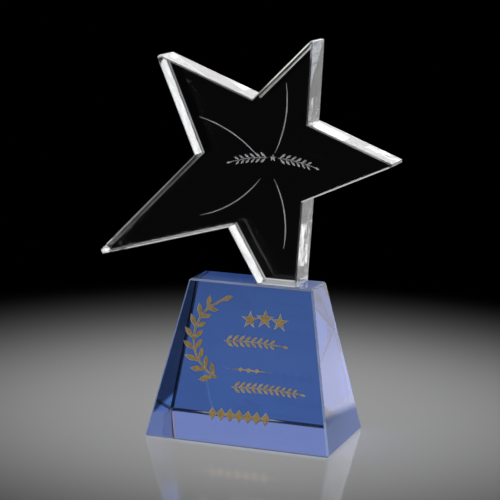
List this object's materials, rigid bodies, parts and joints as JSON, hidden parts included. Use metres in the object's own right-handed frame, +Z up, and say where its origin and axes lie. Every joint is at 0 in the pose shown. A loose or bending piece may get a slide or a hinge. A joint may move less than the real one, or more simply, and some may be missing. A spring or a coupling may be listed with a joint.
{
  "type": "crystal award",
  "caption": "Leaning five-pointed star plate of clear crystal, bonded upright on a tapered cobalt-blue crystal block with gold-filled engraving.",
  "frame": {"origin": "centre of the block's underside, where the award rests", "axes": "+Z up; the engraved faces look towards -Y; +X is to the right as the engraving is seen"},
  "size_m": [0.1485, 0.0556, 0.1962],
  "materials": {
    "clear_crystal": "clear optical crystal, polished, with ground chamfers and frosted engraving",
    "blue_crystal": "cobalt-blue crystal, polished, with ground chamfers and frosted recesses",
    "adhesive": "clear cured adhesive film",
    "gold_fill": "metallic gold paint with a fine flake"
  },
  "bodies": {
    "root": {"star_plate": "clear_crystal", "base_block": "blue_crystal", "bond_layer": "adhesive", "laurel_fill": "gold_fill", "star_fill_left": "gold_fill", "star_fill_middle": "gold_fill", "star_fill_right": "gold_fill", "upper_rule_fill": "gold_fill", "middle_rule_fill": "gold_fill", "lower_rule_fill": "gold_fill", "border_fill": "gold_fill"}
  },
  "joints": []
}
